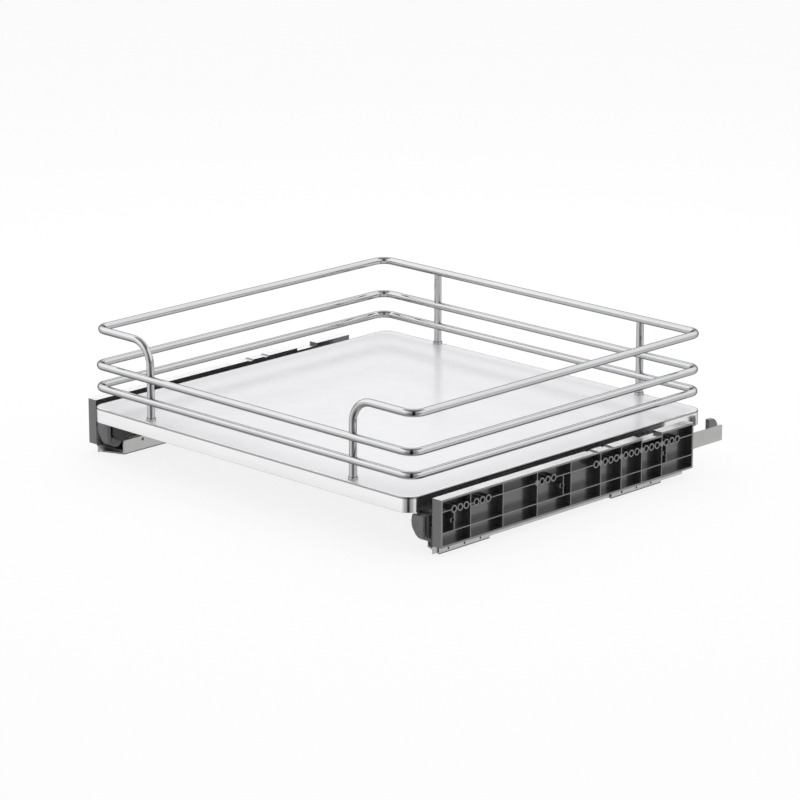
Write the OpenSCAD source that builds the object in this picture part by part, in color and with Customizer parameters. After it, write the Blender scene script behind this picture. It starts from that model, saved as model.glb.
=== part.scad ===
// Pull out cabinet basket: a flat tray with a gallery of bent rod, carried by two
// full extension ball slides that are fixed to ribbed side spacers.
// X runs across the cabinet, -Y is the front and the way the basket pulls out, Z is up.
// The origin is under the middle of the whole part, on the plane that it stands on.

/* [Tray] */
// Width of the tray over its edge band
tray_w = 472; // [400:1:700]
// How much less the tray's depth over its edge band is than the slide's length
tray_short = 2; // [0:0.5:20]
// Thickness of the tray board
tray_t = 16; // [12:1:22]
// Outer radius of the tray's corners, seen from above
tray_corner_r = 14; // [10:1:24]
// Thickness of the metal edge band
band_t = 1.5; // [0.8:0.1:1.8]
// Height of the edge band above the board
band_lip = 0.3; // [0.1:0.1:1]

/* [Rod gallery] */
// Diameter of the bent rod
rod_d = 8; // [5:0.5:8]
// How far a side rail's centreline lies inside the tray's side edge
side_inset = 1.5; // [0:0.5:3]
// How far a front or rear rail's centreline lies inside the tray's edge
end_inset = 6; // [6:0.5:10]
// Centreline radius of a rail's corner, seen from above
rail_corner_r = 14; // [10:0.5:20]
// Height of the low rail's centreline above the tray
low_rail_h = 21; // [16:1:26]
// Height of the middle rail's centreline above the tray
mid_rail_h = 45; // [40:1:50]
// Height of the top rail's centreline above the tray
top_rail_h = 84; // [82:1:140]
// Distance of the four posts from the tray's side edges
post_inset = 86; // [60:1:150]
// Centreline radius of the bend between top rail and front posts
front_bend_r = 25; // [14:1:26]
// How far the front posts and the top rail's front ends stand behind the front rails
front_post_back = 3; // [0.5:0.5:3.5]
// How far the rear posts stand behind the rear rails
rear_post_back = 1; // [0.5:0.5:2]
// Diameter of the collar at a post's foot
collar_d = 10; // [9.5:0.5:14]
// Height of the collar
collar_h = 3; // [2:0.5:5]
// Clearance of a rod in the seat that is cut for it
rod_clear = 0.05; // [0.02:0.01:0.1]
// Shank diameter of a post's screw
post_screw_d = 4; // [3:0.5:4]
// Length of thread inside a post
post_thread = 10; // [6:1:12]

/* [Side spacers] */
// Free width between the tray's side and the spacer
spacer_gap = 14; // [13:0.5:20]
// Depth of the spacer, from its web to the cabinet's side
spacer_depth = 12; // [8:0.5:40]
// Height of the spacer
spacer_h = 49.5; // [48:0.5:52]
// Length of the spacer
spacer_len = 382; // [370:1:400]
// Distance of the spacer's front end behind the tray's front edge
spacer_setback = 19; // [14:1:24]
// Thickness of the spacer's web and outer walls
spacer_wall = 2; // [1.5:0.1:3]
// Thickness of the spacer's ribs
rib_t = 1; // [0.8:0.1:2]
// Pitch of the hole groups
hole_pitch = 32; // [31:0.5:32]
// First hole behind the spacer's front end
first_hole = 18.5; // [12:0.5:20]
// Pitch of the holes inside one group
group_pitch = 8.7; // [8:0.1:9]
// Diameter of the cabinet screw holes
hole_d = 5.2; // [4:0.1:6]
// Wall around a cabinet screw hole
ring_wall = 1.3; // [1:0.1:1.7]
// Hole row below the spacer's top
hole_drop = 12.5; // [11:0.5:13]
// Row of the slide's own screws below the spacer's top
screw_drop = 24.5; // [23:0.5:26]
// Lower rib below the spacer's top
low_rib_drop = 34.5; // [33:0.5:38]
// Depth of the step in the spacer's top wall
top_step = 3; // [1:0.5:4]

/* [Slides] */
// Length of the slide's fixed leg
slide_len = 450; // [440:1:500]
// Distance of the slide's front end behind the tray's front edge
slide_setback = 13; // [10:1:16]
// Way that the basket pulls out
travel = 410; // [200:1:410]
// Height from the ground plane to the tray's underside
slide_h = 43.5; // [43:0.5:50]
// Overall width of the slide inside the spacer
slide_w = 24; // [24:0.5:28]
// Thickness of the steel sheet
sheet_t = 1.5; // [1.2:0.1:1.6]
// Gap between the fixed leg and the moving rails
leg_gap = 1.5; // [1.4:0.1:2]
// Height of the fixed leg above the ground plane
leg_top = 42.5; // [38:0.5:43]
// Lower edge of the leg's open rear end above the ground plane
leg_rear_low = 25; // [20:0.5:28]
// Length of the leg behind the channel's end
leg_tail = 65; // [60:1:70]
// Diameter of the bearing balls
ball_d = 4.5; // [3.5:0.1:4.8]
// Clearance of a ball to the rails above and below it
ball_clear = 0.2; // [0.1:0.05:0.3]
// Balls in one row of a cage
row_balls = 6; // [3:1:10]
// Thickness of the middle rail's web
web_t = 3; // [2.4:0.1:3.4]
// Half width of the slot between a channel's lips
slot_half = 3.75; // [3.5:0.05:4]
// Thickness of a ball cage's plates
cage_t = 1.2; // [0.8:0.1:1.6]
// Length of a cage that stays covered at each end when the basket is out
cage_margin = 7; // [5:1:20]
// Height of the saddle's inner wall
saddle_wall_h = 15.5; // [12:0.5:15.5]
// Length of the front saddle along its outer wall
front_saddle_len = 73; // [60:1:90]
// Slant of the front saddle's front edge
saddle_slant = 10; // [0:1:14]
// Front saddle's outer front corner behind the slide's front end
front_saddle_y = 14; // [13:1:20]
// Rear saddle's rear edge before the channel's rear end
rear_saddle_back = 36; // [20:1:50]
// Length of the rear saddle
rear_saddle_len = 78; // [60:1:90]

/* [Front latches] */
// Length of the latch housing under the tray
latch_len = 30; // [26:1:34]
// Height of the latch housing
latch_h = 27; // [22:0.5:27]
// Thickness of the housing's cheeks
cheek_t = 4; // [3:0.5:4.5]
// Thickness of the release lever's plate
lever_t = 6.5; // [3:0.5:6.5]
// Height of the release lever's plate
lever_h = 25; // [20:1:25]
// Diameter of the lever's pin
pin_d = 3; // [2:0.5:4]

/* [Soft closers] */
// Length of the closer's housing
closer_len = 115; // [100:1:130]
// Rear end of the closer before the channel's rear end
closer_back = 15; // [6:1:30]
// Wall of the closer's housing
closer_wall = 1.2; // [0.8:0.1:1.4]
// Diameter of the damper cylinder
damper_d = 5; // [4:0.5:5]
// Diameter of the closer pin under the tray rail
closer_pin_d = 3; // [2:0.5:3]

/* [Hidden] */
$fn = 48;
eps = 0.01;
// running gap of parts that slide past each other
run = 0.3;

// tray and rods
tray_d = slide_len - tray_short;
rod_r = rod_d / 2;
rail_x = tray_w / 2 - side_inset;
rail_y = tray_d / 2 - end_inset;
post_x = tray_w / 2 - post_inset;
function post_y(sy) = sy * rail_y + (sy < 0 ? front_post_back : rear_post_back);
tray_z = slide_h;
top_z = tray_z + tray_t;
low_z = top_z + low_rail_h;
mid_z = top_z + mid_rail_h;
high_z = top_z + top_rail_h;
board_corner_r = tray_corner_r - band_t;
post_head_d = 1.8 * post_screw_d;
post_head_t = 0.6 * post_screw_d;
post_sink_d = 2 * post_screw_d;
post_sink_t = 0.7 * post_screw_d;
post_thread_spare = 1;
// clearance across a screw in the hole that is cut for it
hole_play = 0.1;

// places along the depth, counted from the tray's middle
front_edge = -tray_d / 2;
slide_y0 = front_edge + slide_setback;
slide_y1 = slide_y0 + slide_len;
chan_setback = 26;
leg_lead = 1;
latch_setback = 8.5;
mid_lead = 1;
mid_tail = 4;
moving_tail = 3;
chan_y0 = slide_y0 + chan_setback;
leg_y0 = front_edge + spacer_setback + leg_lead;
chan_y1 = slide_y1 - leg_tail;
latch_y0 = slide_y0 + latch_setback;
latch_y1 = latch_y0 + latch_len;
moving_y0 = latch_y1;
mid_y0 = latch_y1 + mid_lead;
mid_y1 = chan_y1 - mid_tail;
moving_y1 = chan_y1 + moving_tail;
cap_t = 3;
cap_play = 0.6;
stop_y0 = moving_y1 + cap_t + run;
stop_len = 9;
post_reach = max(collar_d, rod_d) / 2;
whole_y0 = min(front_edge, -rail_y - rod_r);
whole_y1 = max(slide_y1, post_y(1) + post_reach);
shift_y = -(whole_y0 + whole_y1) / 2;

// places across the slide, counted from the spacer's inner face towards the tray
face_x = tray_w / 2 + spacer_gap;
chan_u0 = sheet_t + leg_gap;
chan_u1 = slide_w - sheet_t;
mid_u = (chan_u0 + chan_u1) / 2;
cage_side = 0.3;
cage_wall = 0.8;
cage_web_play = 0.35;
cage_hole_edge = 0.6;
cage_hole_play = 0.1;
flange_play = 0.7;
row_u = web_t / 2 + cage_web_play + cage_hole_edge + ball_d / 2 + cage_hole_play;
flange_half = (chan_u1 - chan_u0) / 2 - sheet_t - cage_side - cage_wall - flange_play;

// heights inside the slide
race = ball_d + 2 * ball_clear;
floor_z = 2 * sheet_t;
low_flange_z = floor_z + race;
low_lip_z = low_flange_z + sheet_t + race;
roof_z = slide_h - sheet_t;
high_flange_z = roof_z - race - sheet_t;
high_lip_z = high_flange_z - race - sheet_t;
chan_top = low_lip_z + sheet_t;

// ball cages: each stays between both of its rails at full travel
low_cover = mid_y1 - travel / 2 - chan_y0;
high_cover = moving_y1 - travel / 2 - mid_y0;
cage_len = min(low_cover, high_cover) - 2 * cage_margin;
low_cage_y = (chan_y0 + mid_y1) / 2;
high_cage_y = (mid_y0 + moving_y1) / 2;
ball_end = 8;

// spacer
spacer_y0 = front_edge + spacer_setback;
spacer_z1 = top_z;
spacer_z0 = spacer_z1 - spacer_h;
hole_z = spacer_z1 - hole_drop;
screw_z = spacer_z1 - screw_drop;
low_rib_z = spacer_z1 - low_rib_drop;
ring_d = hole_d + 2 * ring_wall;
hole_groups = [0, 1, 4, 7, 8, 9, 10];
ribbed_groups = [4, 7, 8, 9, 10];
screw_groups = [0, 5, 10];
rib_lead = 7;
scallop_r = 9;
scallop_depth = 1.2;
first_rib_y = 42;
second_rib_y = 89;
long_bay_rib_y = 190;
ring_len = spacer_depth;
screw_d = 4;
screw_boss_wall = 1.5;
screw_boss_short = 2;
screw_tip_back = 5;
screw_head_d = 7;
screw_head_t = 1;

// tray screws, counted from the latch's rear face
tray_screw_d = 3.5;
tray_screw_len = 11;
tray_screw_spare = 2;
tray_screw_end = 4;
tray_screw_head_d = 5.4;
tray_screw_head_t = 2;
tray_screw_aside = 5.2;
tray_screw_u = mid_u + tray_screw_aside;
tray_screw_first = 17;
tray_screw_pitch = 35;
front_tray_screws = 3;

// latch
latch_u0 = chan_u0 + run;
latch_z0 = slide_h - latch_h;
pocket_u0 = latch_u0 + cheek_t;
pocket_u1 = slide_w - cheek_t;
hinge_back = 5;
hinge_drop = 6;
hinge_y = latch_y0 + hinge_back;
hinge_z = slide_h - hinge_drop;
hub_r = 4;
latch_round_r = 17;
pocket_play = 1;
pin_skin = 1.5;
pin_play = 0.06;
lever_play = 0.1;
lever_lead = 1;
lever_bulge = 2;
lever_y0 = slide_y0 + lever_lead;
lever_z1 = hinge_z;
latch_screw_back = 5;
latch_screw_y = latch_y1 - latch_screw_back;

// closer
closer_y0 = chan_y1 - closer_back - closer_len;
closer_u0 = sheet_t + run;
closer_web_play = 0.9;
closer_u1 = mid_u - web_t / 2 - closer_web_play;
closer_z0 = chan_top + run;
closer_z1 = high_lip_z - run;
closer_u = (closer_u0 + closer_u1) / 2;
closer_pin_back = 16;
closer_pin_reach = 3.2;
closer_slot_play = 0.4;
slider_play = 0.2;
damper_play = 0.3;
damper_lead = 3;
damper_len = 0.45 * closer_len;
damper_rod_d = 0.4 * damper_d;
damper_rod_in = 1;
closer_pin_y = closer_y0 + closer_len - closer_pin_back;
closer_pin_z = closer_z1 - closer_wall - closer_pin_reach;
damper_z = closer_z0 + closer_wall + damper_play + damper_d / 2;
slider_y0 = closer_pin_y + closer_pin_d / 2 + run;
slider_len = 7;

// rear parts
tab_back = 22;
tab_y0 = slide_y1 - tab_back;
tab_len = 14;
tab_round_back = 2.5;
tab_round_drop = 1.5;
tab_rise = 9;
tab_grip = 10;
tab_thick = 5;
stop_side_gap = 2;
leg_round = 3;

// saddles
saddle_bolt_pitch = 23;
saddle_bolt_z = 3.5;
saddle_bolt_d = 2.5;
saddle_clip_drop = 3.5;
saddle_clip_d = 3.5;

steel = [0.72, 0.73, 0.74];
chrome = [0.80, 0.81, 0.83];
dark_plastic = [0.17, 0.17, 0.18];
grey_plastic = [0.42, 0.42, 0.43];
white_board = [0.93, 0.93, 0.94];

// Everything is drawn about the tray's middle and then set over the origin.
module set_over_origin() {
    translate([0, shift_y, 0]) children();
}

// The right side is drawn, and the left side is its mirror image.
module on_side(side) {
    set_over_origin()
        if (side < 0) mirror([1, 0, 0]) children();
        else children();
}

// A block given by its span across the slide, along the depth and in height.
module block(u, y, z) {
    translate([face_x - u[1], y[0], z[0]])
        cube([u[1] - u[0], y[1] - y[0], z[1] - z[0]]);
}

// A round bar across the slide, from one place to another.
module cross_pin(u, y, z, d) {
    translate([face_x - u[1], y, z])
        rotate([0, 90, 0])
            cylinder(h = u[1] - u[0], d = d);
}

module upright(x, y, z, d) {
    translate([x, y, z[0]])
        cylinder(h = z[1] - z[0], d = d);
}

// ---------------------------------------------------------------- tray

module rounded_plan(w, d, r) {
    union() {
        square([w - 2 * r, d], center = true);
        square([w, d - 2 * r], center = true);
        for (sx = [-1, 1], sy = [-1, 1])
            translate([sx * (w / 2 - r), sy * (d / 2 - r)])
                circle(r = r);
    }
}

module at_posts() {
    for (sx = [-1, 1], sy = [-1, 1])
        translate([sx * post_x, post_y(sy), 0])
            children();
}

module at_rail_holes() {
    for (i = [0 : front_tray_screws - 1])
        translate([face_x - tray_screw_u, moving_y0 + tray_screw_first + i * tray_screw_pitch, 0])
            children();
    translate([face_x - tray_screw_u, moving_y1 - tray_screw_end, 0]) children();
}

// The blind hole that a tray screw is driven into.
module tray_screw_hole() {
    translate([0, 0, tray_z - eps])
        cylinder(h = tray_screw_len - tray_screw_spare / 2, d = tray_screw_d + hole_play);
}

module tray_board() {
    color(white_board)
        set_over_origin()
            difference() {
                translate([0, 0, tray_z])
                    linear_extrude(tray_t)
                        rounded_plan(tray_w - 2 * band_t, tray_d - 2 * band_t, board_corner_r);
                at_posts() {
                    translate([0, 0, tray_z - eps])
                        cylinder(h = tray_t + 2 * eps, d = post_screw_d + 2 * hole_play);
                    translate([0, 0, tray_z - eps])
                        cylinder(h = post_sink_t, d = post_sink_d);
                }
                for (sx = [-1, 1])
                    mirror([sx < 0 ? 1 : 0, 0, 0]) {
                        at_rail_holes() tray_screw_hole();
                        translate([face_x - tray_screw_u, latch_screw_y, 0]) tray_screw_hole();
                    }
            }
}

module band_ring(z, h) {
    translate([0, 0, z])
        linear_extrude(h)
            difference() {
                rounded_plan(tray_w, tray_d, tray_corner_r);
                rounded_plan(tray_w - 2 * band_t, tray_d - 2 * band_t, board_corner_r);
            }
}

module edge_band() {
    color(chrome)
        set_over_origin()
            band_ring(tray_z, tray_t + band_lip);
}

// ---------------------------------------------------------------- rod gallery

module rod_x(x, y, z) {
    translate([x[0], y, z])
        rotate([0, 90, 0])
            cylinder(h = x[1] - x[0], r = rod_r);
}

module rod_y(x, y, z) {
    translate([x, y[0], z])
        rotate([-90, 0, 0])
            cylinder(h = y[1] - y[0], r = rod_r);
}

// A quarter bend in plan, between a side rail and the front or rear line of rod at y.
module rod_corner(sx, sy, y, z) {
    turn = sx > 0 ? (sy > 0 ? 0 : 270) : (sy > 0 ? 90 : 180);
    translate([sx * (rail_x - rail_corner_r), y - sy * rail_corner_r, z])
        rotate([0, 0, turn])
            rotate_extrude(angle = 90)
                translate([rail_corner_r, 0])
                    circle(r = rod_r);
}

// Both sides and the rear of a rail, with its four corners. Its front line lies at front_y.
module rod_sides(front_y, z) {
    straight_x = rail_x - rail_corner_r;
    rod_x([-straight_x, straight_x], rail_y, z);
    for (sx = [-1, 1]) {
        rod_y(sx * rail_x, [front_y + rail_corner_r, rail_y - rail_corner_r], z);
        rod_corner(sx, -1, front_y, z);
        rod_corner(sx, 1, rail_y, z);
    }
}

// A closed ring of rod around the tray.
module rod_ring(z) {
    straight_x = rail_x - rail_corner_r;
    union() {
        rod_sides(-rail_y, z);
        rod_x([-straight_x, straight_x], -rail_y, z);
    }
}

// The bend from the top rail's front stub down into a front post.
module front_bend(sx) {
    translate([sx * (post_x + front_bend_r), post_y(-1), high_z - front_bend_r])
        mirror([sx < 0 ? 1 : 0, 0, 0])
            rotate([90, 0, 0])
                rotate([0, 0, 90])
                    rotate_extrude(angle = 90)
                        translate([front_bend_r, 0])
                            circle(r = rod_r);
}

// Room for a ring's rod where a post meets it.
module rod_seat(sx, sy, z) {
    translate([sx * post_x - rod_d, sy * rail_y, z])
        rotate([0, 90, 0])
            cylinder(h = 2 * rod_d, r = rod_r + rod_clear);
}

module post_span(sx, sy, z) {
    upright(sx * post_x, post_y(sy), z, rod_d);
}

module low_rail() {
    color(chrome) set_over_origin() rod_ring(low_z);
}

module mid_rail() {
    color(chrome) set_over_origin() rod_ring(mid_z);
}

module top_rail() {
    stub = [post_x + front_bend_r, rail_x - rail_corner_r];
    color(chrome)
        set_over_origin()
            difference() {
                union() {
                    rod_sides(post_y(-1), high_z);
                    for (sx = [-1, 1]) {
                        rod_x(sx > 0 ? stub : [-stub[1], -stub[0]], post_y(-1), high_z);
                        front_bend(sx);
                        post_span(sx, -1, [mid_z, high_z - front_bend_r]);
                    }
                }
                for (sx = [-1, 1])
                    rod_seat(sx, -1, mid_z);
            }
}

// The tapped end of a post, over its screw.
module post_thread_hole(sx, sy) {
    translate([sx * post_x, post_y(sy), top_z - eps])
        cylinder(h = post_thread + post_thread_spare, d = post_screw_d + hole_play);
}

// A post stands behind the rails and is cut to their rod. A front post ends at the middle rail,
// where the top rail's own bend takes over, and a rear post ends behind the top rail.
module post(sx, sy) {
    color(chrome)
        set_over_origin()
            difference() {
                post_span(sx, sy, [top_z, sy > 0 ? high_z - rod_r / 2 : mid_z]);
                for (z = [low_z, mid_z, high_z])
                    rod_seat(sx, sy, z);
                post_thread_hole(sx, sy);
            }
}

// Each collar stands on the board and is notched over the band's lip.
module post_collars() {
    color(chrome)
        set_over_origin()
            difference() {
                at_posts()
                    difference() {
                        translate([0, 0, top_z])
                            cylinder(h = collar_h, d = collar_d);
                        translate([0, 0, top_z - eps])
                            cylinder(h = collar_h + 2 * eps, r = rod_r + rod_clear);
                    }
                band_ring(top_z - eps, band_lip + eps);
            }
}

module post_screws() {
    color(steel)
        set_over_origin()
            at_posts()
                union() {
                    translate([0, 0, tray_z])
                        cylinder(h = post_head_t, d = post_head_d);
                    translate([0, 0, tray_z])
                        cylinder(h = tray_t + post_thread, d = post_screw_d);
                }
}

// ---------------------------------------------------------------- side spacers

function hole_y(group, step) =
    spacer_y0 + first_hole + group * hole_pitch + step * group_pitch;

rib_ys = concat(
    [spacer_y0 + first_rib_y, spacer_y0 + second_rib_y],
    [for (g = ribbed_groups) hole_y(g, 0) - rib_lead],
    [spacer_y0 + long_bay_rib_y]
);

module spacer_bar(y, z) {
    block([-spacer_depth, 0], y, z);
}

module outward(y, z, d, len) {
    translate([face_x, y, z])
        rotate([0, 90, 0])
            cylinder(h = len, d = d);
}

module spacer_body() {
    y0 = spacer_y0;
    y1 = spacer_y0 + spacer_len;
    step_y0 = hole_y(9, 0) - rib_lead;
    step_y1 = hole_y(10, 0) - rib_lead;
    difference() {
        union() {
            block([-spacer_wall, 0], [y0, y1], [spacer_z0, spacer_z1]);
            spacer_bar([y0, y1], [spacer_z0, spacer_z0 + spacer_wall]);
            spacer_bar([y0, y1], [spacer_z1 - spacer_wall, spacer_z1]);
            spacer_bar([y0, y0 + spacer_wall], [spacer_z0, spacer_z1]);
            spacer_bar([y1 - spacer_wall, y1], [spacer_z0, spacer_z1]);
            spacer_bar([step_y0, step_y1], [spacer_z1 - top_step - spacer_wall, spacer_z1]);
            for (z = [hole_z, low_rib_z])
                spacer_bar([y0, y1], [z - rib_t / 2, z + rib_t / 2]);
            for (y = rib_ys)
                spacer_bar([y - rib_t / 2, y + rib_t / 2], [spacer_z0, spacer_z1]);
            for (g = screw_groups) {
                spacer_bar([hole_y(g, 0) - rib_t / 2, hole_y(g, 0) + rib_t / 2], [low_rib_z, hole_z]);
                outward(hole_y(g, 0), screw_z, screw_d + 2 * screw_boss_wall,
                    ring_len - screw_boss_short);
            }
            for (g = hole_groups, step = [0, 1, 2])
                outward(hole_y(g, step), hole_z, ring_d, ring_len);
            outward(hole_y(7, 0) - 2 * rib_lead, hole_z, ring_d, ring_len);
            for (g = ribbed_groups)
                outward(hole_y(g, 0) - rib_lead, hole_z, rib_lead - rib_t, ring_len);
        }
        for (y = [hole_y(7, 0) - 2 * rib_lead, hole_y(7, 1) + rib_t])
            translate([-spacer_wall - eps, 0, 0])
                outward(y, spacer_z1 + scallop_r - scallop_depth, 2 * scallop_r,
                    spacer_depth + spacer_wall + 2 * eps);
        translate([face_x - eps, step_y0 + rib_t / 2, spacer_z1 - top_step])
            cube([spacer_depth + 2 * eps, step_y1 - step_y0 - rib_t, top_step + eps]);
    }
}

module spacer(side) {
    color(dark_plastic)
        on_side(side)
            difference() {
                spacer_body();
                translate([-eps, 0, 0]) {
                    for (g = hole_groups, step = [0, 1, 2])
                        outward(hole_y(g, step), hole_z, hole_d, ring_len + 2 * eps);
                    outward(hole_y(7, 0) - 2 * rib_lead, hole_z, hole_d, ring_len + 2 * eps);
                    for (g = screw_groups)
                        outward(hole_y(g, 0), screw_z, screw_d + hole_play, ring_len + 2 * eps);
                }
            }
}

// ---------------------------------------------------------------- slides

// The section of a lipped channel that opens upwards or downwards.
module lipped_channel(y, z, lips_low) {
    lip = lips_low ? [z[0], z[0] + sheet_t] : [z[1] - sheet_t, z[1]];
    back = lips_low ? [z[1] - sheet_t, z[1]] : [z[0], z[0] + sheet_t];
    union() {
        block([chan_u0, chan_u1], y, back);
        block([chan_u0, chan_u0 + sheet_t], y, z);
        block([chan_u1 - sheet_t, chan_u1], y, z);
        block([chan_u0, mid_u - slot_half], y, lip);
        block([mid_u + slot_half, chan_u1], y, lip);
    }
}

// The fixed rail: a tall leg on the spacer, a foot, and the lower channel on the foot.
module cabinet_rail(side) {
    leg = [0, sheet_t];
    color(steel)
        on_side(side)
            difference() {
                union() {
                    block(leg, [leg_y0, chan_y1], [sheet_t, leg_top]);
                    block(leg, [chan_y1 - eps, slide_y1], [leg_rear_low, leg_top - leg_round]);
                    block(leg, [chan_y1 - eps, slide_y1 - leg_round], [leg_rear_low, leg_top]);
                    cross_pin(leg, slide_y1 - leg_round, leg_top - leg_round, 2 * leg_round);
                    block([0, chan_u1], [chan_y0, chan_y1], [sheet_t, floor_z]);
                    lipped_channel([chan_y0, chan_y1], [sheet_t, chan_top], false);
                }
                for (g = screw_groups)
                    cross_pin([-eps, sheet_t + eps], hole_y(g, 0), screw_z, screw_d + hole_play);
            }
}

module saddle(side, y, slant) {
    inner = [chan_u1, slide_w];
    outer = [-sheet_t, 0];
    bolt_y = (y[0] + y[1]) / 2;
    color(steel)
        on_side(side)
            difference() {
                union() {
                    block([outer[0], inner[1]], y, [0, sheet_t]);
                    block(inner, y, [0, saddle_wall_h]);
                    block(outer, y, [0, spacer_z0]);
                }
                translate([face_x + sheet_t, y[0], -eps])
                    linear_extrude(saddle_wall_h + 1)
                        polygon([
                            [eps, -1],
                            [-slide_w - sheet_t - eps, -1],
                            [-slide_w - sheet_t - eps, slant],
                            [eps, -eps]
                        ]);
                for (step = [-1, 0, 1])
                    cross_pin([outer[0] - eps, eps], bolt_y + step * saddle_bolt_pitch,
                        saddle_bolt_z, saddle_bolt_d);
                cross_pin([inner[0] - eps, inner[1] + eps], bolt_y,
                    saddle_wall_h - saddle_clip_drop, saddle_clip_d);
            }
}

module front_saddle(side) {
    y = slide_y0 + front_saddle_y;
    saddle(side, [y, y + front_saddle_len], saddle_slant);
}

module rear_saddle(side) {
    y = chan_y1 - rear_saddle_back;
    saddle(side, [y - rear_saddle_len, y], 0);
}

module rail_screws(side) {
    color(steel)
        on_side(side)
            for (g = screw_groups)
                union() {
                    cross_pin([screw_boss_short + screw_tip_back - ring_len, sheet_t],
                        hole_y(g, 0), screw_z, screw_d);
                    cross_pin([sheet_t, sheet_t + screw_head_t], hole_y(g, 0), screw_z, screw_head_d);
                }
}

module middle_rail(side) {
    web = [mid_u - web_t / 2, mid_u + web_t / 2];
    flange = [mid_u - flange_half, mid_u + flange_half];
    color(steel)
        on_side(side)
            union() {
                block(web, [mid_y0, mid_y1], [low_flange_z, high_flange_z + sheet_t]);
                block(flange, [mid_y0, mid_y1], [low_flange_z, low_flange_z + sheet_t]);
                block(flange, [mid_y0, mid_y1], [high_flange_z, high_flange_z + sheet_t]);
            }
}

// The rail under the tray: a channel that opens downwards over the middle rail.
module tray_rail(side) {
    color(steel)
        on_side(side)
            difference() {
                lipped_channel([moving_y0, moving_y1], [high_lip_z, slide_h], true);
                at_rail_holes()
                    translate([0, 0, roof_z - eps])
                        cylinder(h = sheet_t + 2 * eps, d = tray_screw_d + hole_play);
            }
}

function row_ys(centre) = [
    for (i = [0 : row_balls - 1])
        centre - cage_len / 2 + ball_end + i * (cage_len - 2 * ball_end) / (row_balls - 1)
];

// Four rows of balls, below and above a flange of the middle rail.
module ball_rows(centre, flange_z, d) {
    for (y = row_ys(centre), su = [-1, 1], z = [flange_z - race / 2, flange_z + sheet_t + race / 2])
        translate([face_x - mid_u - su * row_u, y, z])
            sphere(d = d);
}

// A cage folds around the flange: a plate beyond it, two sides and two strips.
module cage_body(centre, flange_z, plate_above) {
    y = [centre - cage_len / 2, centre + cage_len / 2];
    u0 = chan_u0 + sheet_t + cage_side;
    u1 = chan_u1 - sheet_t - cage_side;
    below = [flange_z - race / 2 - cage_t / 2, flange_z - race / 2 + cage_t / 2];
    above = [for (z = below) z + race + sheet_t];
    plate = plate_above ? above : below;
    strip = plate_above ? below : above;
    inner_edge = web_t / 2 + cage_web_play;
    hole_z_span = [below[0] - eps, above[1] + eps];
    difference() {
        union() {
            block([u0, u1], y, plate);
            block([u0, mid_u - inner_edge], y, strip);
            block([mid_u + inner_edge, u1], y, strip);
            block([u0, u0 + cage_wall], y, [below[0], above[1]]);
            block([u1 - cage_wall, u1], y, [below[0], above[1]]);
        }
        for (by = row_ys(centre), su = [-1, 1])
            upright(face_x - mid_u - su * row_u, by, hole_z_span, ball_d + 2 * cage_hole_play);
    }
}

module lower_cage(side) {
    color(dark_plastic) on_side(side) cage_body(low_cage_y, low_flange_z, false);
}

module upper_cage(side) {
    color(dark_plastic) on_side(side) cage_body(high_cage_y, high_flange_z, true);
}

module lower_balls(side) {
    color(steel) on_side(side) ball_rows(low_cage_y, low_flange_z, ball_d);
}

module upper_balls(side) {
    color(steel) on_side(side) ball_rows(high_cage_y, high_flange_z, ball_d);
}

module tray_screws(side) {
    color(steel)
        on_side(side) {
            at_rail_holes()
                union() {
                    translate([0, 0, roof_z - tray_screw_head_t])
                        cylinder(h = tray_screw_head_t, d = tray_screw_head_d);
                    translate([0, 0, roof_z - tray_screw_head_t])
                        cylinder(h = tray_screw_head_t + sheet_t + tray_screw_len - tray_screw_spare,
                            d = tray_screw_d);
                }
            translate([face_x - tray_screw_u, latch_screw_y, latch_z0])
                union() {
                    cylinder(h = tray_screw_head_t, d = tray_screw_head_d);
                    cylinder(h = latch_h + tray_screw_len - tray_screw_spare, d = tray_screw_d);
                }
        }
}

// The plastic end piece at the tray rail's rear, open where the middle rail passes.
module rail_end_cap(side) {
    cut = [moving_y1 - eps, moving_y1 + cap_t + eps];
    web_half = web_t / 2 + cap_play;
    rim_half = flange_half + cap_play;
    color(dark_plastic)
        on_side(side)
            difference() {
                block([chan_u0, chan_u1], [moving_y1, moving_y1 + cap_t], [high_lip_z, slide_h]);
                block([mid_u - web_half, mid_u + web_half], cut, [high_lip_z - eps, high_flange_z]);
                block([mid_u - rim_half, mid_u + rim_half], cut,
                    [high_flange_z - cap_play, high_flange_z + sheet_t + cap_play]);
            }
}

// ---------------------------------------------------------------- front latches

module latch_housing(side) {
    color(dark_plastic)
        on_side(side)
            difference() {
                intersection() {
                    block([latch_u0, slide_w], [latch_y0, latch_y1], [latch_z0, slide_h]);
                    cross_pin([latch_u0 - eps, slide_w + eps], (latch_y0 + latch_y1) / 2,
                        latch_z0 + latch_round_r, 2 * latch_round_r);
                }
                block([pocket_u0, pocket_u1], [latch_y0 - eps, hinge_y + hub_r + pocket_play],
                    [latch_z0 - eps, hinge_z + hub_r + run]);
                cross_pin([latch_u0 + pin_skin, slide_w - pin_skin], hinge_y, hinge_z, pin_d + pin_play);
                translate([face_x - tray_screw_u, latch_screw_y, latch_z0 - eps]) {
                    cylinder(h = tray_screw_head_t + eps, d = tray_screw_head_d + 2 * hole_play);
                    cylinder(h = latch_h + 2 * eps, d = tray_screw_d + hole_play);
                }
            }
}

module latch_pin(side) {
    color(steel)
        on_side(side)
            cross_pin([latch_u0 + pin_skin, slide_w - pin_skin], hinge_y, hinge_z, pin_d);
}

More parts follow.
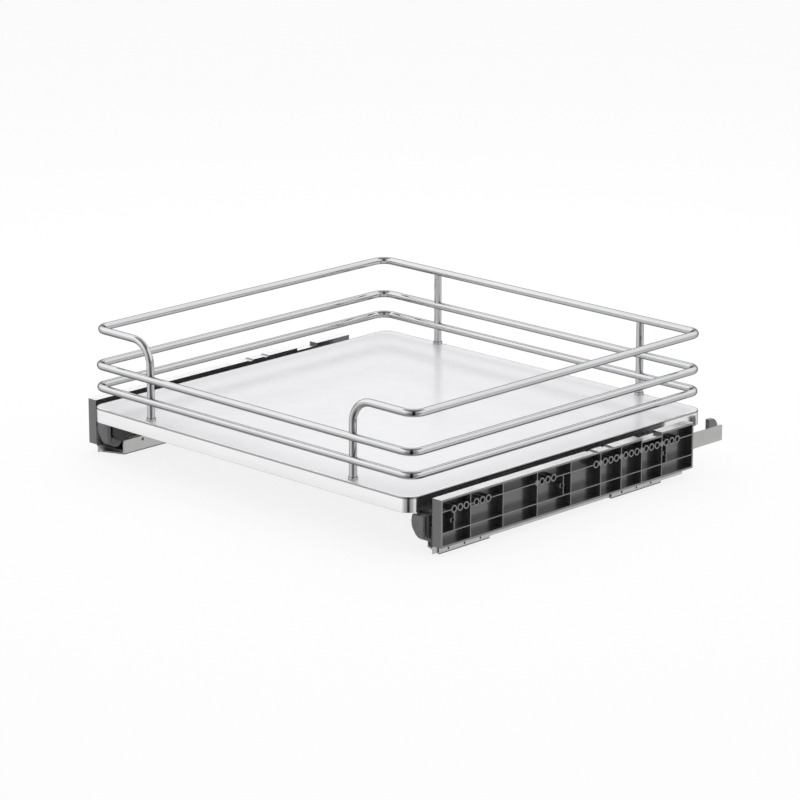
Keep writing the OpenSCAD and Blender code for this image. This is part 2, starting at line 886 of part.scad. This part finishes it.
// A hanging plate with one round side, on a hub that turns on the pin.
module latch_lever(side) {
    hub = [pocket_u0 + run, pocket_u1 - run];
    round_r = lever_h / 2 + lever_bulge;
    color(grey_plastic)
        on_side(side)
            difference() {
                union() {
                    cross_pin(hub, hinge_y, hinge_z, 2 * hub_r);
                    block(hub, [lever_y0 + lever_t - eps, hinge_y], [hinge_z - hub_r, hinge_z]);
                    intersection() {
                        block([pocket_u0, slide_w], [lever_y0, lever_y0 + lever_t],
                            [lever_z1 - lever_h, lever_z1]);
                        translate([face_x - slide_w + round_r, lever_y0, lever_z1 - lever_h / 2])
                            rotate([-90, 0, 0])
                                cylinder(h = lever_t, r = round_r, $fn = 64);
                    }
                }
                cross_pin([hub[0] - eps, hub[1] + eps], hinge_y, hinge_z, pin_d + lever_play);
            }
}

// ---------------------------------------------------------------- soft closers

module closer_housing(side) {
    y = [closer_y0, closer_y0 + closer_len];
    slot_r = closer_pin_d / 2 + closer_slot_play;
    color(dark_plastic)
        on_side(side)
            difference() {
                block([closer_u0, closer_u1], y, [closer_z0, closer_z1]);
                block([closer_u0 + closer_wall, closer_u1 - closer_wall],
                    [y[0] - eps, y[1] - closer_wall],
                    [closer_z0 + closer_wall, closer_z1 - closer_wall]);
                block([closer_u - slot_r, closer_u + slot_r],
                    [y[0] - eps, closer_pin_y + closer_pin_d],
                    [closer_z1 - closer_wall - eps, closer_z1 + eps]);
            }
}

module closer_cylinder(side) {
    color(steel)
        on_side(side)
            translate([face_x - closer_u, closer_y0 + damper_lead, damper_z])
                rotate([-90, 0, 0])
                    cylinder(h = damper_len, d = damper_d);
}

// The damper's rod, with the block that the closer pin pushes home.
module closer_slider(side) {
    rod_y0 = closer_y0 + damper_lead + damper_len;
    side_skin = closer_wall + slider_play;
    color(grey_plastic)
        on_side(side)
            union() {
                translate([face_x - closer_u, rod_y0, damper_z])
                    rotate([-90, 0, 0])
                        cylinder(h = slider_y0 - rod_y0 + damper_rod_in, d = damper_rod_d);
                block([closer_u0 + side_skin, closer_u1 - side_skin],
                    [slider_y0, slider_y0 + slider_len],
                    [closer_z0 + side_skin, closer_z1 - side_skin]);
            }
}

// The pin under the tray rail's outer lip.
module closer_pin(side) {
    color(steel)
        on_side(side)
            upright(face_x - closer_u, closer_pin_y, [closer_pin_z, high_lip_z], closer_pin_d);
}

// ---------------------------------------------------------------- rear parts

// The stop that the tray rail's end cap meets when the basket is home.
module rear_stop(side) {
    color(dark_plastic)
        on_side(side)
            block([sheet_t, chan_u1 - stop_side_gap], [stop_y0, stop_y0 + stop_len],
                [leg_rear_low, min(leg_top, roof_z)]);
}

// A plastic tab that is clipped on the leg's upper edge.
module rear_tab(side) {
    color(grey_plastic)
        on_side(side)
            union() {
                block([sheet_t, tab_thick], [tab_y0, tab_y0 + tab_len], [leg_top - tab_grip, leg_top]);
                intersection() {
                    block([0, tab_thick], [tab_y0, tab_y0 + tab_len], [leg_top, leg_top + tab_rise]);
                    cross_pin([-eps, tab_thick + eps], tab_y0 + tab_round_back,
                        leg_top - tab_round_drop, 2 * (tab_len - tab_round_back));
                }
            }
}

// ---------------------------------------------------------------- nodes

LEFT = -1;
RIGHT = 1;
SIDED = [
    "spacer", "cabinet_rail", "front_saddle", "rear_saddle", "rail_screws",
    "closer_housing", "closer_cylinder", "closer_slider", "rear_stop", "rear_tab",
    "middle_rail", "lower_cage", "lower_balls", "upper_cage", "upper_balls",
    "tray_rail", "rail_end_cap", "tray_screws", "closer_pin",
    "latch_housing", "latch_pin", "latch_lever"
];

module sided(side, name) {
    if (name == "spacer") spacer(side);
    if (name == "cabinet_rail") cabinet_rail(side);
    if (name == "front_saddle") front_saddle(side);
    if (name == "rear_saddle") rear_saddle(side);
    if (name == "rail_screws") rail_screws(side);
    if (name == "closer_housing") closer_housing(side);
    if (name == "closer_cylinder") closer_cylinder(side);
    if (name == "closer_slider") closer_slider(side);
    if (name == "rear_stop") rear_stop(side);
    if (name == "rear_tab") rear_tab(side);
    if (name == "middle_rail") middle_rail(side);
    if (name == "lower_cage") lower_cage(side);
    if (name == "lower_balls") lower_balls(side);
    if (name == "upper_cage") upper_cage(side);
    if (name == "upper_balls") upper_balls(side);
    if (name == "tray_rail") tray_rail(side);
    if (name == "rail_end_cap") rail_end_cap(side);
    if (name == "tray_screws") tray_screws(side);
    if (name == "closer_pin") closer_pin(side);
    if (name == "latch_housing") latch_housing(side);
    if (name == "latch_pin") latch_pin(side);
    if (name == "latch_lever") latch_lever(side);
}

tray_board();
edge_band();
low_rail();
mid_rail();
top_rail();
post(LEFT, -1);  // front_left_post
post(RIGHT, -1);  // front_right_post
post(LEFT, 1);  // rear_left_post
post(RIGHT, 1);  // rear_right_post
post_collars();
post_screws();
for (name = SIDED) {
    sided(LEFT, name);
    sided(RIGHT, name);
}
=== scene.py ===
"""Looks of the pull out cabinet basket: procedural finishes, added pieces, studio light and camera."""

import math

import bmesh
import bpy
from mathutils import Matrix, Vector


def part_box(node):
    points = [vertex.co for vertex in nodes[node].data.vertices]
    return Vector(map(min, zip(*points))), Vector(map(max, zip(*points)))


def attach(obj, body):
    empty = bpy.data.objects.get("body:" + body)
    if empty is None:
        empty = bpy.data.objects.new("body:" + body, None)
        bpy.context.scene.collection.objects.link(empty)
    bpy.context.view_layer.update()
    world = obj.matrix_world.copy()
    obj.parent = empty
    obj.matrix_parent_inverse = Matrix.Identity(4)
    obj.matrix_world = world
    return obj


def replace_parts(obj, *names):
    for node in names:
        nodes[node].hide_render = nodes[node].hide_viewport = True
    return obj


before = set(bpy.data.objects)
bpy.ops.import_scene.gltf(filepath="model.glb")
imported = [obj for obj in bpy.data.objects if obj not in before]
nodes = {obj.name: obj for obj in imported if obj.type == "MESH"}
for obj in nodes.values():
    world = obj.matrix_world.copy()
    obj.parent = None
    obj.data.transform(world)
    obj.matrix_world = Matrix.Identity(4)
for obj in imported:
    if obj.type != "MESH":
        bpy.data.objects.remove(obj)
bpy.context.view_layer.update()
scene = bpy.context.scene

# ---------------------------------------------------------------- camera
# Fitted to the photo: the angles, the distance from the origin and how far the camera is moved to its right
# and upwards, in metres, and the focal length in pixels of the square photo.
AZIMUTH, ELEVATION = math.radians(44.41), math.radians(15.90)
DISTANCE, SHIFT_RIGHT, SHIFT_UP = 3.9572, -0.00185, 0.06381
FOCAL_PX, PHOTO_PX = 3704.96, 800
SENSOR_MM = 36

towards_camera = Vector((math.sin(AZIMUTH), -math.cos(AZIMUTH), 0))
back = Vector((
    math.sin(AZIMUTH) * math.cos(ELEVATION),
    -math.cos(AZIMUTH) * math.cos(ELEVATION),
    math.sin(ELEVATION),
))
right = Vector((math.cos(AZIMUTH), math.sin(AZIMUTH), 0))
up = back.cross(right)
place = back * DISTANCE + right * SHIFT_RIGHT + up * SHIFT_UP
camera = bpy.data.objects.new("camera", bpy.data.cameras.new("camera"))
camera.matrix_world = Matrix([[right[i], up[i], back[i], place[i]] for i in range(3)] + [[0, 0, 0, 1]])
camera.data.sensor_width = SENSOR_MM
camera.data.lens = FOCAL_PX / PHOTO_PX * SENSOR_MM
camera.data.clip_end = 50
scene.collection.objects.link(camera)
scene.camera = camera


# ---------------------------------------------------------------- node helpers
class Tree:
    """Adds nodes to a material's or world's tree. A value that is a socket is linked, others are set."""

    def __init__(self, owner):
        owner.use_nodes = True
        self.tree = owner.node_tree
        self.tree.nodes.clear()

    def add(self, kind, inputs=None, **settings):
        node = self.tree.nodes.new("ShaderNode" + kind)
        for key, value in settings.items():
            setattr(node, key, value)
        for key, value in (inputs or {}).items():
            if isinstance(value, bpy.types.NodeSocket):
                self.tree.links.new(value, node.inputs[key])
            else:
                node.inputs[key].default_value = value
        return node

    def math(self, operation, *values):
        return self.add("Math", dict(enumerate(values)), operation=operation).outputs[0]

    def plus(self, a, b):
        return self.math("ADD", a, b)

    def times(self, a, b):
        return self.math("MULTIPLY", a, b)

    def ramp(self, value, fade, low=0.0, high=1.0):
        """Runs smoothly from low to high while the value runs over the fade's two ends."""
        inputs = {"Value": value, "From Min": fade[0], "From Max": fade[1], "To Min": low, "To Max": high}
        return self.add("MapRange", inputs, interpolation_type="SMOOTHSTEP").outputs[0]

    def mix_numbers(self, factor, a, b):
        return self.add("Mix", {0: factor, 2: a, 3: b}, data_type="FLOAT").outputs[0]

    def mix_colours(self, factor, a, b):
        return self.add("Mix", {0: factor, 6: a, 7: b}, data_type="RGBA").outputs[2]

    def point(self):
        """The surface point in the shared frame, in metres."""
        return self.add("TexCoord").outputs["Object"]

    def coordinate(self, vector, axis):
        return self.add("SeparateXYZ", {"Vector": vector}).outputs[axis]

    def noise(self, vector, scale, detail, roughness=0.5):
        inputs = {"Vector": vector, "Scale": scale, "Detail": detail, "Roughness": roughness}
        return self.add("TexNoise", inputs).outputs["Fac"]

    def out(self, shader, kind):
        end = self.add("Output" + kind)
        self.tree.links.new(shader, end.inputs["Surface"])


def grey(value, tint=(1, 1, 1)):
    return (value * tint[0], value * tint[1], value * tint[2], 1)


WHITE = grey(1)


# ---------------------------------------------------------------- finishes
# Where a finish changes its colour, as coordinates in metres, and the grey that it changes to or from.
# Partly rubbed wear and partly painted highlight: where the spacer's outer edges turn lighter, and their
# grey.
RUB_AND_HIGHLIGHT_FADE, RUB_AND_HIGHLIGHT_SHADE = (0.2610, 0.2619), 0.15
# Painted shade: the heights over which the steel's lowest millimetre turns darker, standing in for the
# shadow where the saddles meet the floor, and its grey.
CONTACT_SHADE_FADE, CONTACT_SHADE = (0.0006, 0.0014), 0.10
# Painted shade: the heights over which the band's rolled top edge turns darker, and its grey.
TOP_SHADE_FADE, TOP_SHADE_END_FADE, TOP_SHADE = (0.0573, 0.0581), (0.0593, 0.0597), 0.32


def rubbed_and_highlighted_edges(tree, colour):
    """The spacer's outermost edges are painted lighter than its webs: partly rubbed wear, partly a painted
    highlight standing in for the bright floor that the edges mirror and the shaded webs don't.
    """
    rubbed_and_lit = tree.ramp(tree.math("ABSOLUTE", tree.coordinate(tree.point(), "X")), RUB_AND_HIGHLIGHT_FADE)
    return tree.mix_colours(rubbed_and_lit, colour, grey(RUB_AND_HIGHLIGHT_SHADE))


def painted_contact_shade(tree, colour):
    """The saddles' lowest millimetre is painted darker than the plating: a painted shadow where they stand
    on the floor.
    """
    above_contact = tree.ramp(tree.coordinate(tree.point(), "Z"), CONTACT_SHADE_FADE)
    return tree.mix_colours(above_contact, grey(CONTACT_SHADE), colour)


def painted_band_top_shade(tree, colour):
    """Just under the band's upper edge, where it rolls over towards the board, the colour is painted darker
    than on its face: painted shade standing in for the dark line along the rolled edge.
    """
    height = tree.coordinate(tree.point(), "Z")
    below_top = tree.ramp(height, TOP_SHADE_END_FADE, 1.0, 0.0)
    shade_line = tree.times(tree.ramp(height, TOP_SHADE_FADE), below_top)
    return tree.mix_colours(shade_line, colour, grey(TOP_SHADE))


# A broad and a fine noise are summed by these shares, and the sum sets the colour and the roughness.
BROAD_SHARE, BROAD_SCALE, BROAD_DETAIL = 0.6, 0.04, 3
FINE_SHARE, FINE_DETAIL, FINE_ROUGHNESS = 0.4, 4, 0.6
COLOUR_FADE, ROUGHNESS_FADE = (0.35, 0.65), (0.3, 0.7)
COAT_IOR = 1.8


def finish(name, shade, tint, rough, spread, grain, relief, depth=0.0001, metal=0.0, stretch=(1, 1, 1),
           bevel=0.0, ior=1.5, rim=1.0, edge=None, coat=0.0, coat_rough=0.1):
    """A material with a colour and a roughness that vary a little, and a fine relief.

    shade and tint give the colour, spread its share of variation, rough the roughness from and to. grain is
    the fine noise's scale, stretched along the axes, and relief and depth its bump. bevel rounds the edges
    by this many metres, rim is the mirror colour at a grazing angle, and edge changes the colour by place.
    """
    material = bpy.data.materials.new(name)
    tree = Tree(material)
    where = tree.add("Mapping", {"Vector": tree.point(), "Scale": stretch}).outputs[0]
    broad = tree.noise(where, grain * BROAD_SCALE, BROAD_DETAIL)
    fine = tree.noise(where, grain, FINE_DETAIL, FINE_ROUGHNESS)
    both = tree.plus(tree.times(broad, BROAD_SHARE), tree.times(fine, FINE_SHARE))
    darker, lighter = grey(shade * (1 - spread), tint), grey(shade * (1 + spread), tint)
    colour = tree.mix_colours(tree.ramp(both, COLOUR_FADE), darker, lighter)
    if edge:
        colour = edge(tree, colour)
    bump = {"Height": fine, "Strength": relief, "Distance": depth}
    if bevel:
        bump["Normal"] = tree.add("Bevel", {"Radius": bevel}, samples=4).outputs[0]
    inputs = {
        "Base Color": colour,
        "Roughness": tree.ramp(both, ROUGHNESS_FADE, *rough),
        "Metallic": metal,
        "Normal": tree.add("Bump", bump).outputs[0],
        "IOR": ior,
        "Specular Tint": grey(rim),
        "Coat Weight": coat,
        "Coat Roughness": coat_rough,
        "Coat IOR": COAT_IOR,
    }
    tree.out(tree.add("BsdfPrincipled", inputs).outputs[0], "Material")
    return material


EDGE_ROUNDING = 0.0003
FINISHES = {
    "chrome_rod": dict(shade=0.60, tint=(0.995, 1, 1.01), rough=(0.035, 0.075), spread=0.03, grain=220,
                       relief=0.015, metal=1.0, rim=0.1),
    # the band's rolled top edge is painted darker: painted shade
    "polished_band": dict(shade=0.94, tint=(1, 1, 1.01), rough=(0.14, 0.20), spread=0.03, grain=500,
                          relief=0.015, metal=1.0, stretch=(1, 1, 8), rim=0.2, edge=painted_band_top_shade),
    "white_board": dict(shade=0.84, tint=(1.0, 0.997, 1.03), rough=(0.18, 0.24), spread=0.012, grain=1400,
                        relief=0.05, depth=0.00005),
    # the spacer's outer edges are painted lighter: partly rubbed wear, partly a painted highlight
    "spacer_plastic": dict(shade=0.042, tint=(1, 1, 1.08), rough=(0.26, 0.40), spread=0.25, grain=1500,
                           relief=0.10, bevel=EDGE_ROUNDING, ior=1.7, edge=rubbed_and_highlighted_edges, coat=0.9,
                           coat_rough=0.16),
    # the steel's lowest millimetre is painted darker: a painted contact shadow
    "zinc_steel": dict(shade=0.54, tint=(1.0, 1.004, 0.985), rough=(0.26, 0.38), spread=0.10, grain=700,
                       relief=0.06, metal=1.0, stretch=(1, 0.12, 1), bevel=EDGE_ROUNDING,
                       edge=painted_contact_shade),
    "dark_plastic": dict(shade=0.045, tint=(1, 1, 1.05), rough=(0.32, 0.46), spread=0.2, grain=1500,
                         relief=0.12, bevel=EDGE_ROUNDING),
    "grey_plastic": dict(shade=0.19, tint=(1, 1, 1.04), rough=(0.34, 0.46), spread=0.12, grain=1500,
                         relief=0.12, bevel=EDGE_ROUNDING),
}
finished = {name: finish(name, **values) for name, values in FINISHES.items()}
for node in nodes.values():
    for slot in node.material_slots:
        slot.material = finished[slot.material.name]

# ---------------------------------------------------------------- mesh helpers, in millimetres
SMOOTH_UP_TO = math.radians(40)
MM_PER_M = 1000


def piece(name, mesh, body, slot):
    """Makes a new piece of this bmesh, with its slot's finish, that rides on this body."""
    data = bpy.data.meshes.new(name)
    bmesh.ops.recalc_face_normals(mesh, faces=mesh.faces)
    bmesh.ops.scale(mesh, vec=(1 / MM_PER_M,) * 3, verts=mesh.verts)
    for face in mesh.faces:
        face.smooth = True
    mesh.to_mesh(data)
    mesh.free()
    data.set_sharp_from_angle(angle=SMOOTH_UP_TO)
    data.materials.append(finished[slot])
    obj = bpy.data.objects.new(name, data)
    scene.collection.objects.link(obj)
    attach(obj, body)
    return obj


def prism(mesh, outline, axis, ends, bevel):
    """Adds a solid with this outline, drawn across the axis, between its two ends along the axis."""
    def at(u, v, w):
        return (w, u, v) if axis == "x" else (u, w, v)

    rings = [[mesh.verts.new(at(u, v, w)) for u, v in outline] for w in ends]
    caps = [mesh.faces.new(ring) for ring in rings]
    for i in range(len(outline)):
        j = (i + 1) % len(outline)
        mesh.faces.new((rings[0][i], rings[0][j], rings[1][j], rings[1][i]))
    rim = list({edge for cap in caps for edge in cap.edges})
    bmesh.ops.bevel(mesh, geom=rim, offset=bevel, segments=2, profile=0.5, affect="EDGES")


def sweep(mesh, course, section):
    """Adds a skin of this section (outward, up) along a closed level course of (x, y, outward x, y)."""
    rings = [[mesh.verts.new((x + nx * u, y + ny * u, v)) for u, v in section] for x, y, nx, ny in course]
    for i in range(len(rings)):
        here, there = rings[i], rings[(i + 1) % len(rings)]
        for j in range(len(section)):
            k = (j + 1) % len(section)
            mesh.faces.new((here[j], here[k], there[k], there[j]))


def arc(cx, cy, radius, start, end, steps):
    """Points on a circle from the start to the end angle, in degrees."""
    angles = [math.radians(start + (end - start) * i / steps) for i in range(steps + 1)]
    return [(cx + radius * math.cos(angle), cy + radius * math.sin(angle)) for angle in angles]


# ---------------------------------------------------------------- the band, rolled over the board's edge
BAND_CORNER, BAND_THICK, BAND_ROLL, BAND_CHAMFER = 14.0, 1.5, 1.4, 0.3
CORNER_STEPS, ROLL_STEPS = 24, 6

band_low, band_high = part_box("edge_band")
x0, y0, z0 = (v * MM_PER_M for v in band_low)
x1, y1, z1 = (v * MM_PER_M for v in band_high)
course = []
for corner_x, corner_y, start in ((x1, y1, 0), (x0, y1, 90), (x0, y0, 180), (x1, y0, 270)):
    cx = corner_x - math.copysign(BAND_CORNER, corner_x)
    cy = corner_y - math.copysign(BAND_CORNER, corner_y)
    for i in range(CORNER_STEPS + 1):
        turn = math.radians(start + 90 * i / CORNER_STEPS)
        nx, ny = math.cos(turn), math.sin(turn)
        course.append((cx + BAND_CORNER * nx, cy + BAND_CORNER * ny, nx, ny))
section = [
    (-BAND_THICK, z0),
    (-BAND_CHAMFER, z0),
    (0, z0 + BAND_CHAMFER),
    *arc(-BAND_ROLL, z1 - BAND_ROLL, BAND_ROLL, 0, 90, ROLL_STEPS),
    (-BAND_THICK, z1),
]
mesh = bmesh.new()
sweep(mesh, course, section)
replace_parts(piece("rolled_band", mesh, "basket", "polished_band"), "edge_band")

# ---------------------------------------------------------------- the small pieces at each front corner
# The release lever's plate has one straight and one cut off side. Both sides' levers are the same, so the
# left plate is the right one's outline (x, z) moved over, not mirrored.
PLATE = [(241.5, 39.2), (227, 39.2), (226.2, 37), (226, 33), (226.2, 27), (228.2, 23.2), (231.8, 19.2),
         (235.4, 16.2), (239.5, 15.6), (241.5, 17)]
PLATE_SHIFT = {"left": -467.6, "right": 0}
PLATE_Y = (-217.5, -212.8)
# The other outlines are (y, z), and their ends in x count outwards from the middle. The lever's arm joins
# its plate to its hub, which turns on the pin.
HUB_Y, HUB_Z, HUB_RADIUS = -205, 37.5, 3.9
ARM_FRONT, ARM_TOP = -213.4, 38.8
ARM = [
    (ARM_FRONT, HUB_Z - HUB_RADIUS),
    *arc(HUB_Y, HUB_Z, HUB_RADIUS, -90, 90, steps=8),
    (ARM_FRONT, ARM_TOP),
]
ARM_X = (231.6, 240.6)
# The keel under the latch housing is half a disc with straight flanks above it.
KEEL_Y, KEEL_Z, KEEL_RADIUS, KEEL_TOP = -202.5, 17.5, 7.5, 22
KEEL = [
    (KEEL_Y - KEEL_RADIUS, KEEL_TOP),
    *arc(KEEL_Y, KEEL_Z, KEEL_RADIUS, 180, 360, steps=12),
    (KEEL_Y + KEEL_RADIUS, KEEL_TOP),
]
KEEL_X = (228.2, 246.0)
# The housing's nose stands beside the lever, and the bumper on the front end of the slide's leg.
NOSE = [(-214.5, 41.4), (-214.5, 22), (-212.5, 17), (-209.8, 17), (-209.8, 41.4)]
NOSE_X = (243.1, 246.6)
BUMPER = [(-212.4, 9), (-204.7, 9), (-204.7, 30), (-212.4, 30)]
BUMPER_X = (247.2, 250.5)

for side, name in ((-1, "left"), (1, "right")):
    plate = [(x + PLATE_SHIFT[name], z) for x, z in PLATE]
    mesh = bmesh.new()
    prism(mesh, plate, "y", PLATE_Y, bevel=0.8)
    prism(mesh, ARM, "x", sorted(side * x for x in ARM_X), bevel=0.3)
    lever = piece(f"{name}_lever_plate", mesh, f"{name}_release", "grey_plastic")
    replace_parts(lever, f"{name}_latch_lever")
    for kind, outline, ends, bevel, body, slot in (
        ("latch_keel", KEEL, KEEL_X, 0.6, "basket", "grey_plastic"),
        ("latch_nose", NOSE, NOSE_X, 0.4, "basket", "dark_plastic"),
        ("leg_bumper", BUMPER, BUMPER_X, 0.5, "cabinet_sides", "dark_plastic"),
    ):
        mesh = bmesh.new()
        prism(mesh, outline, "x", sorted(side * x for x in ends), bevel)
        piece(f"{name}_{kind}", mesh, body, slot)

# ---------------------------------------------------------------- world
# What the metal mirrors, by the direction that it mirrors. Each fade is over the direction's height or its
# part to the right or towards the camera, all from -1 to 1. The ceiling is brighter to the left and to the
# back and falls off overhead.
CEILING, CEILING_RIGHT, CEILING_BACK = 1.24, -0.12, 0.28
OVERHEAD_FADE, OVERHEAD_SHARE = (0.74, 0.86), 0.25
# The ground gets darker underneath, but less so to the right.
GROUND_FADE, GROUND_UNDER, GROUND_FAR = (-0.62, -0.20), 0.40, 0.96
GROUND_RIGHT_FADE, GROUND_RIGHT = (-0.3, 0.6), 0.82
HORIZON_FADE = (-0.05, 0.05)
# A grey line runs round the room just above the horizon.
LINE_HEIGHT, LINE_FADE, LINE_SHARE = 0.05, (0.05, 0.14), 0.58
# The room is dark on the camera's side, and darkest in a narrow middle, except straight up and down.
GAP_FADE, GAP = (0.50, 0.97), 0.62
GAP_MIDDLE_FADE, GAP_MIDDLE = (0.965, 0.996), 0.36
GAP_END_FADE = (0.88, 0.99)
AMBIENT = 0.62

world = bpy.data.worlds.new("studio")
scene.world = world
tree = Tree(world)
rays = tree.add("LightPath").outputs
direction = tree.add("TexCoord").outputs["Generated"]


def along(vector, axis):
    return tree.add("VectorMath", {0: vector, 1: tuple(axis)}, operation="DOT_PRODUCT").outputs["Value"]


height = tree.coordinate(direction, "Z")
level = tree.add("VectorMath", {0: direction, 1: (1, 1, 0)}, operation="MULTIPLY").outputs["Vector"]
level = tree.add("VectorMath", {0: level}, operation="NORMALIZE").outputs["Vector"]
to_right = along(direction, right)
to_back = tree.math("MAXIMUM", along(direction, -towards_camera), 0.0)
facing = along(level, towards_camera)

ceiling = tree.plus(CEILING, tree.times(to_right, CEILING_RIGHT))
ceiling = tree.plus(ceiling, tree.times(to_back, CEILING_BACK))
ceiling = tree.times(ceiling, tree.ramp(height, OVERHEAD_FADE, 1.0, OVERHEAD_SHARE))
ground = tree.ramp(height, GROUND_FADE, GROUND_UNDER, GROUND_FAR)
ground = tree.mix_numbers(tree.ramp(to_right, GROUND_RIGHT_FADE), ground, GROUND_RIGHT)
room = tree.mix_numbers(tree.ramp(height, HORIZON_FADE), ground, ceiling)
off_line = tree.math("ABSOLUTE", tree.math("SUBTRACT", height, LINE_HEIGHT))
room = tree.times(room, tree.ramp(off_line, LINE_FADE, LINE_SHARE, 1.0))
gap = tree.plus(
    tree.ramp(facing, GAP_FADE, 0.0, GAP),
    tree.ramp(facing, GAP_MIDDLE_FADE, 0.0, GAP_MIDDLE),
)
gap = tree.times(gap, tree.ramp(tree.math("ABSOLUTE", height), GAP_END_FADE, 1.0, 0.0))
room = tree.times(room, tree.math("SUBTRACT", 1.0, gap))
room = tree.add("CombineColor", {channel: room for channel in range(3)}).outputs[0]

ambient = tree.add("Background", {"Color": WHITE, "Strength": AMBIENT}).outputs[0]
mirrored = tree.add("Background", {"Color": room, "Strength": 1.0}).outputs[0]
backdrop = tree.add("Background", {"Color": WHITE, "Strength": 1.0}).outputs[0]
shader = tree.add("MixShader", {0: rays["Is Glossy Ray"], 1: ambient, 2: mirrored}).outputs[0]
shader = tree.add("MixShader", {0: rays["Is Camera Ray"], 1: shader, 2: backdrop}).outputs[0]
tree.out(shader, "World")

# ---------------------------------------------------------------- lamps
AIM = Vector((0, 0, 0.05))


def lamp(name, at, size, radiance):
    """A soft rectangular lamp, aimed at the object, whose surface is this bright seen from there."""
    light = bpy.data.lights.new(name, "AREA")
    light.shape = "RECTANGLE"
    light.size, light.size_y = size
    light.energy = radiance * math.pi * size[0] * size[1]
    obj = bpy.data.objects.new(name, light)
    obj.location = at
    obj.rotation_euler = (AIM - Vector(at)).to_track_quat("-Z", "Y").to_euler()
    obj.visible_camera = False
    obj.visible_glossy = False
    scene.collection.objects.link(obj)
    return obj


def behind(distance, height):
    """A place this far behind the object and this high, seen from the camera."""
    return towards_camera * -distance + Vector((0, 0, height))


lamp("overhead", at=(-0.2, 0.3, 2.6), size=(3.0, 3.0), radiance=0.7)
lamp("behind", at=behind(0.9, height=1.1), size=(1.0, 0.6), radiance=1.3)

# a strip low behind the object, which lights the side spacers alone and which their top faces mirror
strip = lamp("strip", at=behind(2.4, height=0.74), size=(3.6, 0.7), radiance=0.9)
strip.visible_glossy = True
lit_by_strip = bpy.data.collections.new("strip_receivers")
for name in ("left_spacer", "right_spacer"):
    lit_by_strip.objects.link(nodes[name])
strip.light_linking.receiver_collection = lit_by_strip

# ---------------------------------------------------------------- floor
# It returns light as pale paper does. The camera sees it nearly white, with a faint share of its shadows.
FLOOR_HALF = 30
PAPER = (0.80, 0.84)
SPECK_SCALE, SPECK_DETAIL = 60, 3
SHADOW_SHARE, GLOW = 0.17, 0.845

floor_mesh = bpy.data.meshes.new("floor")
corners = [(sx * FLOOR_HALF, sy * FLOOR_HALF, 0) for sx, sy in ((-1, -1), (1, -1), (1, 1), (-1, 1))]
floor_mesh.from_pydata(corners, [], [(0, 1, 2, 3)])
floor = bpy.data.objects.new("floor", floor_mesh)
scene.collection.objects.link(floor)
floor.visible_glossy = False
paper = bpy.data.materials.new("floor_paper")
tree = Tree(paper)
rays = tree.add("LightPath").outputs
speck = tree.noise(tree.point(), SPECK_SCALE, SPECK_DETAIL)
shade = tree.mix_colours(speck, grey(PAPER[0]), grey(PAPER[1]))
lit = tree.add("BsdfDiffuse", {"Color": shade}).outputs[0]
faint = tree.add("BsdfDiffuse", {"Color": grey(SHADOW_SHARE)}).outputs[0]
glow = tree.add("Emission", {"Color": WHITE, "Strength": GLOW}).outputs[0]
shown = tree.add("AddShader", {0: faint, 1: glow}).outputs[0]
tree.out(tree.add("MixShader", {0: rays["Is Camera Ray"], 1: lit, 2: shown}).outputs[0], "Material")
floor_mesh.materials.append(paper)

scene.view_settings.view_transform = "Standard"
